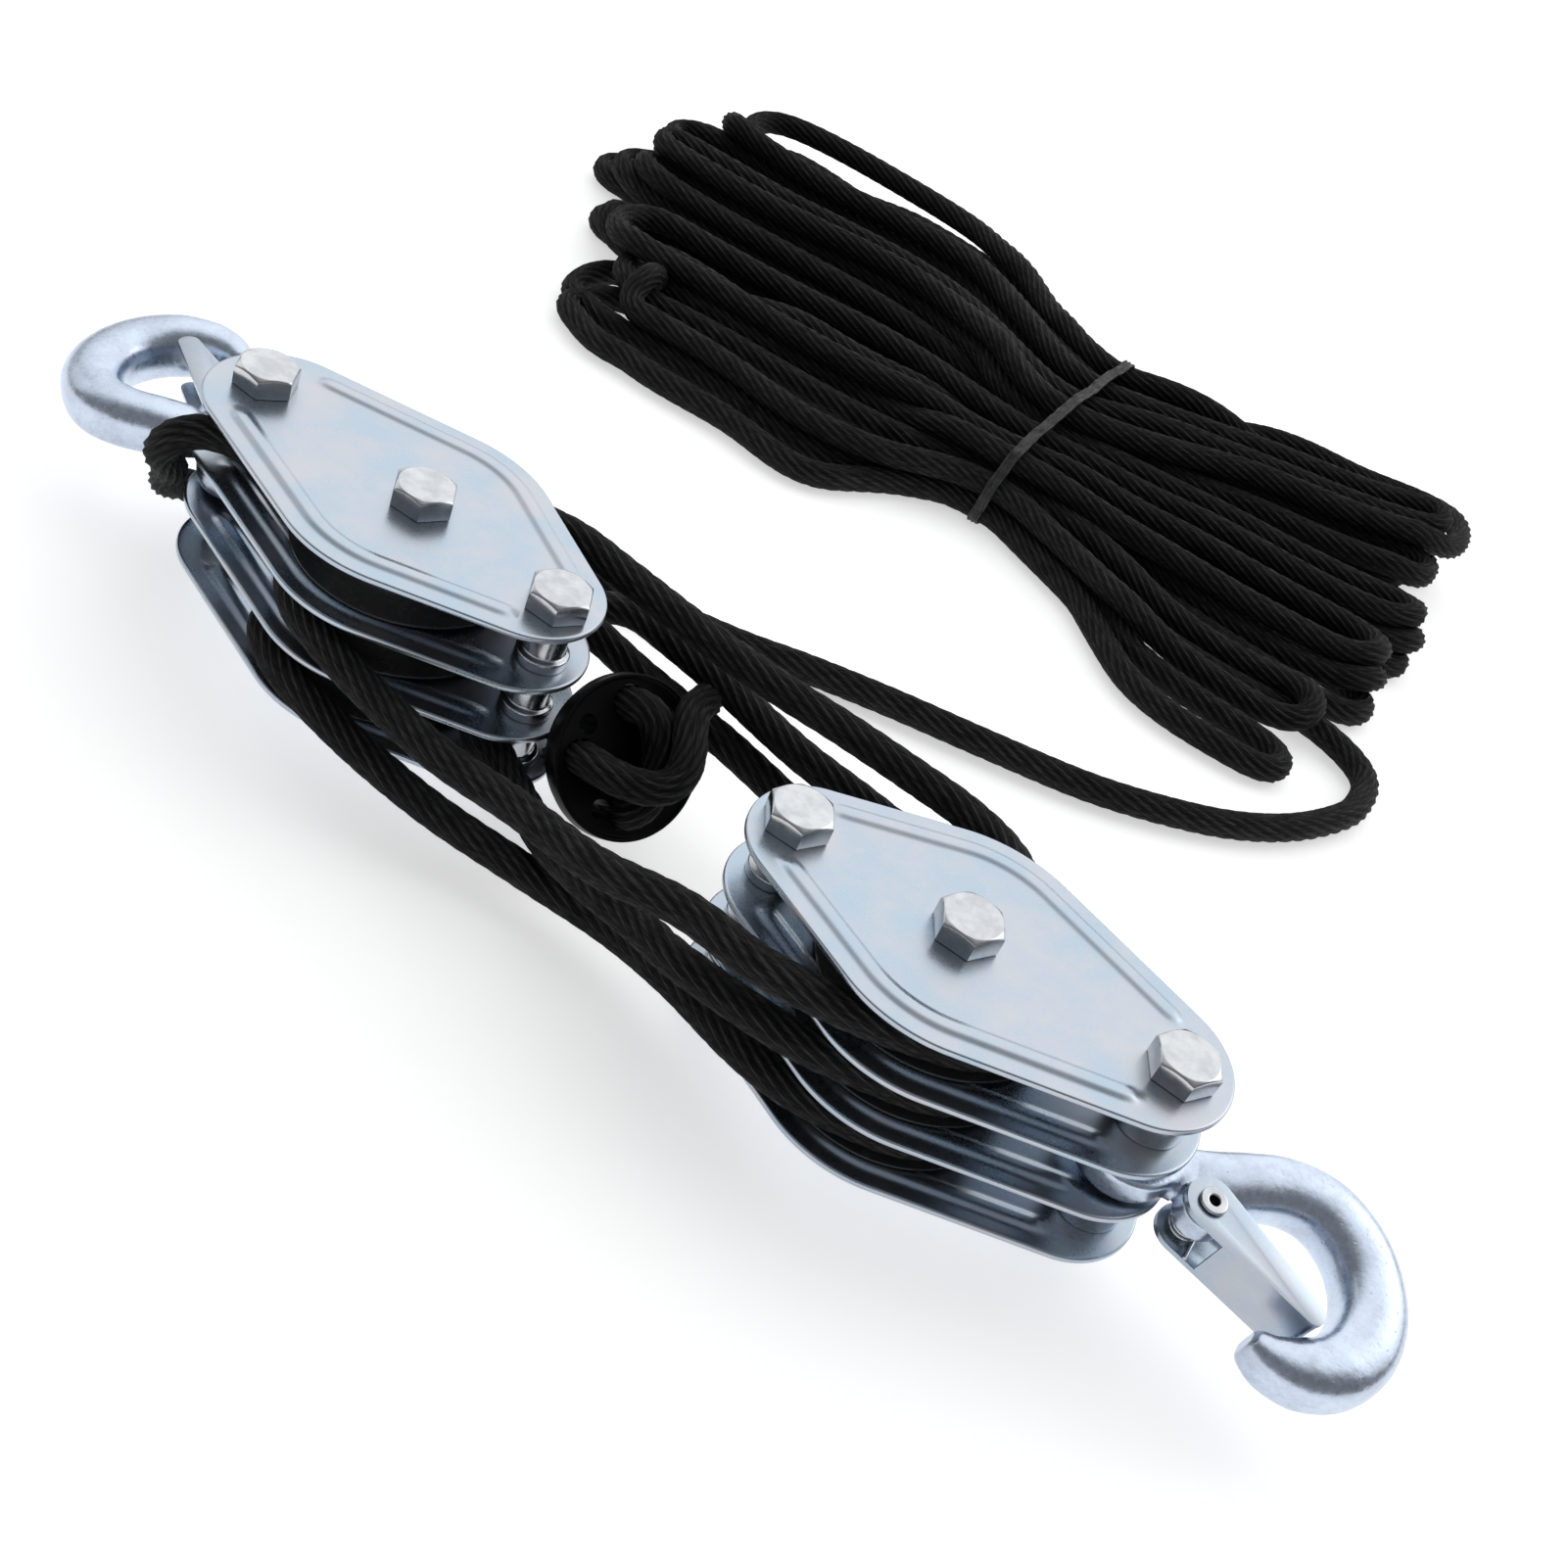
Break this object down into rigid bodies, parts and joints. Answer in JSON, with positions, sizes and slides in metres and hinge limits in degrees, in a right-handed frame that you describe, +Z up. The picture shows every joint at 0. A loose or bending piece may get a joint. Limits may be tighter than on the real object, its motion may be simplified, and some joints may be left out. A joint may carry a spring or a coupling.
{
  "type": "block and tackle",
  "caption": "Rope hoist of two multi-sheave pulley blocks with swivelling latch hooks, reeved with one rope that ends in a disc anchor and a tied hank.",
  "frame": {"origin": "on the floor, at the foot of the axle bolt of block 1, whose bolt ends stand on the floor", "axes": "+Z up along the bolts, +X from block 1 towards block 2 along the length of the tackle, +Y towards the hank"},
  "size_m": [0.4058, 0.3993, 0.06],
  "materials": {
    "zinc_plate": "zinc-plated pressed steel with a cold blue tint, satin",
    "bright_steel": "zinc-plated fasteners and tubes, bright",
    "forged_zinc": "zinc-plated forging, slightly uneven under the plating",
    "black_plastic": "moulded black nylon, satin",
    "black_rope": "laid black synthetic fibre",
    "black_tape": "thin black plastic tape, satin"
  },
  "bodies": {
    "block_1": {"block_1_plate_1": "zinc_plate", "block_1_plate_2": "zinc_plate", "block_1_plate_3": "zinc_plate", "block_1_plate_4": "zinc_plate", "block_1_inner_bolt": "bright_steel", "block_1_inner_nut": "bright_steel", "block_1_axle_bolt": "bright_steel", "block_1_axle_nut": "bright_steel", "block_1_hook_bolt": "bright_steel", "block_1_hook_nut": "bright_steel", "block_1_axle_bush_1": "bright_steel", "block_1_axle_bush_2": "bright_steel", "block_1_axle_bush_3": "bright_steel", "block_1_inner_spacer_1": "bright_steel", "block_1_inner_spacer_2": "bright_steel", "block_1_inner_spacer_3": "bright_steel", "block_1_hook_spacer_1": "bright_steel", "block_1_hook_spacer_3": "bright_steel", "block_1_hook_bush": "bright_steel", "rope_fall_1": "black_rope", "rope_fall_2": "black_rope", "rope_fall_3": "black_rope", "rope_dead_end": "black_rope", "haul_line": "black_rope", "rope_anchor": "black_plastic", "rope_hank": "black_rope", "hank_tie": "black_tape"},
    "block_2": {"block_2_plate_1": "zinc_plate", "block_2_plate_2": "zinc_plate", "block_2_plate_3": "zinc_plate", "block_2_plate_4": "zinc_plate", "block_2_inner_bolt": "bright_steel", "block_2_inner_nut": "bright_steel", "block_2_axle_bolt": "bright_steel", "block_2_axle_nut": "bright_steel", "block_2_hook_bolt": "bright_steel", "block_2_hook_nut": "bright_steel", "block_2_axle_bush_1": "bright_steel", "block_2_axle_bush_2": "bright_steel", "block_2_axle_bush_3": "bright_steel", "block_2_inner_spacer_1": "bright_steel", "block_2_inner_spacer_2": "bright_steel", "block_2_inner_spacer_3": "bright_steel", "block_2_hook_spacer_1": "bright_steel", "block_2_hook_spacer_3": "bright_steel", "block_2_hook_bush": "bright_steel"},
    "block_1_sheave_1": {"block_1_sheave_1": "black_plastic"},
    "block_1_sheave_2": {"block_1_sheave_2": "black_plastic"},
    "block_1_sheave_3": {"block_1_sheave_3": "black_plastic"},
    "block_2_sheave_1": {"block_2_sheave_1": "black_plastic"},
    "block_2_sheave_2": {"block_2_sheave_2": "black_plastic"},
    "block_2_sheave_3": {"block_2_sheave_3": "black_plastic"},
    "hook_1": {"block_1_hook": "forged_zinc", "block_1_latch_rivet": "bright_steel", "block_1_latch_spring": "bright_steel"},
    "latch_1": {"block_1_hook_latch": "zinc_plate"},
    "hook_2": {"block_2_hook": "forged_zinc", "block_2_latch_rivet": "bright_steel", "block_2_latch_spring": "bright_steel"},
    "latch_2": {"block_2_hook_latch": "zinc_plate"}
  },
  "joints": [
    {"name": "block_travel", "type": "slide", "parent": "block_1", "child": "block_2", "axis": [1, 0, 0], "range_m": [-0.015, 0.12], "deforming": ["rope_fall_1", "rope_fall_2", "rope_fall_3"]},
    {"name": "block_1_sheave_1_spin", "type": "hinge", "parent": "block_1", "child": "block_1_sheave_1", "pos_m": [0, 0, 0.0323], "axis": [0, 0, -1], "continuous": true},
    {"name": "block_1_sheave_2_spin", "type": "hinge", "parent": "block_1", "child": "block_1_sheave_2", "pos_m": [0, 0, 0.0323], "axis": [0, 0, -1], "continuous": true},
    {"name": "block_1_sheave_3_spin", "type": "hinge", "parent": "block_1", "child": "block_1_sheave_3", "pos_m": [0, 0, 0.0323], "axis": [0, 0, -1], "continuous": true},
    {"name": "block_2_sheave_1_spin", "type": "hinge", "parent": "block_2", "child": "block_2_sheave_1", "pos_m": [0.1513, -0.0037, 0.0323], "axis": [0, 0, -1], "continuous": true},
    {"name": "block_2_sheave_2_spin", "type": "hinge", "parent": "block_2", "child": "block_2_sheave_2", "pos_m": [0.1513, -0.0037, 0.0323], "axis": [0, 0, -1], "continuous": true},
    {"name": "block_2_sheave_3_spin", "type": "hinge", "parent": "block_2", "child": "block_2_sheave_3", "pos_m": [0.1513, -0.0037, 0.0323], "axis": [0, 0, -1], "continuous": true},
    {"name": "hook_1_swing", "type": "hinge", "parent": "block_1", "child": "hook_1", "pos_m": [-0.0487, 0, 0.0323], "axis": [0, 0, 1], "range_deg": [-14, 38], "deforming": ["haul_line"]},
    {"name": "latch_1_hinge", "type": "hinge", "parent": "hook_1", "child": "latch_1", "pos_m": [-0.06559, 0.00847, 0.03014], "axis": [-0.1642, -0.0769, 0.9834], "range_deg": [0, 35], "stiffness_Nm_per_rad": 0.02, "springref_deg": -22.92, "deforming": ["block_1_latch_spring"]},
    {"name": "hook_2_swing", "type": "hinge", "parent": "block_2", "child": "hook_2", "pos_m": [0.19963, 0.00228, 0.0323], "axis": [0, 0, 1], "range_deg": [-15, 40]},
    {"name": "latch_2_hinge", "type": "hinge", "parent": "hook_2", "child": "latch_2", "pos_m": [0.21829, -0.0002, 0.02959], "axis": [0.1252, -0.1312, 0.9834], "range_deg": [0, 35], "stiffness_Nm_per_rad": 0.02, "springref_deg": -22.92, "deforming": ["block_2_latch_spring"]}
  ],
  "couplings": [
    {"joint": "block_2_sheave_2_spin", "follows": "block_travel", "rad_per_m": 43.86},
    {"joint": "block_1_sheave_3_spin", "follows": "block_travel", "rad_per_m": 87.719},
    {"joint": "block_2_sheave_3_spin", "follows": "block_travel", "rad_per_m": 131.58},
    {"joint": "block_1_sheave_2_spin", "follows": "block_travel", "rad_per_m": 175.44},
    {"joint": "block_2_sheave_1_spin", "follows": "block_travel", "rad_per_m": 219.3},
    {"joint": "block_1_sheave_1_spin", "follows": "block_travel", "rad_per_m": 263.16}
  ]
}
